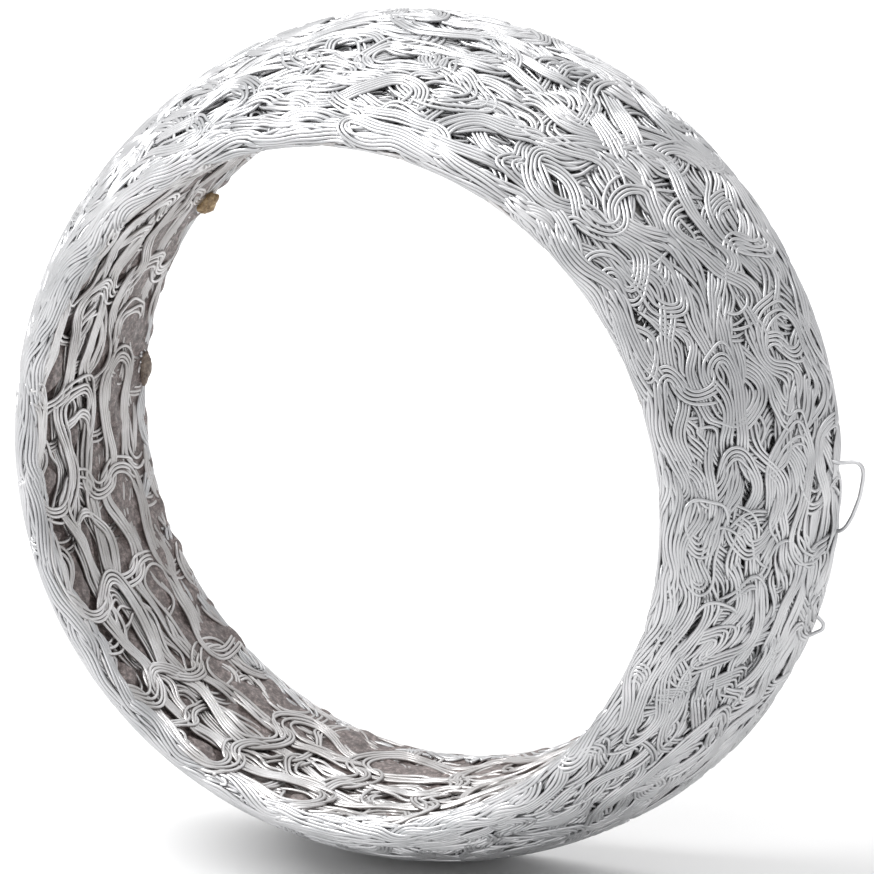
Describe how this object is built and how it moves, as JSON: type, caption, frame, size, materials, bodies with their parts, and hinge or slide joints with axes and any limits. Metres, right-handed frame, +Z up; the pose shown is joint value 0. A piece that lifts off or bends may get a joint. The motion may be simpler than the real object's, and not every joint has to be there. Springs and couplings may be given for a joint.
{
  "type": "exhaust ring gasket",
  "caption": "Pressed ring of knitted steel wire and mica-graphite sheet that seals the ball joint of an exhaust pipe, with a straight bore, a flat back face and a ball-shaped outside.",
  "frame": {"origin": "on the bore's axis, at the middle of the ring's width", "axes": "+Y along the bore, out of the flat back face; -Y out of the thin front rim; +Z up, with the ring standing on its edge as on a level pipe"},
  "size_m": [0.0669, 0.0186, 0.065],
  "materials": {
    "outer_wire": "bright drawn wire, pressed flat in places",
    "base_wire": "bright drawn wire, dusted with filler",
    "filler_sheet": "matte, grainy brown-grey mica and graphite sheet"
  },
  "bodies": {
    "root": {"base_net": "base_wire", "base_filler": "filler_sheet", "outer_filler": "filler_sheet", "outer_net": "outer_wire", "stray_wire_loop": "outer_wire", "stray_wire_end": "outer_wire"}
  },
  "joints": []
}
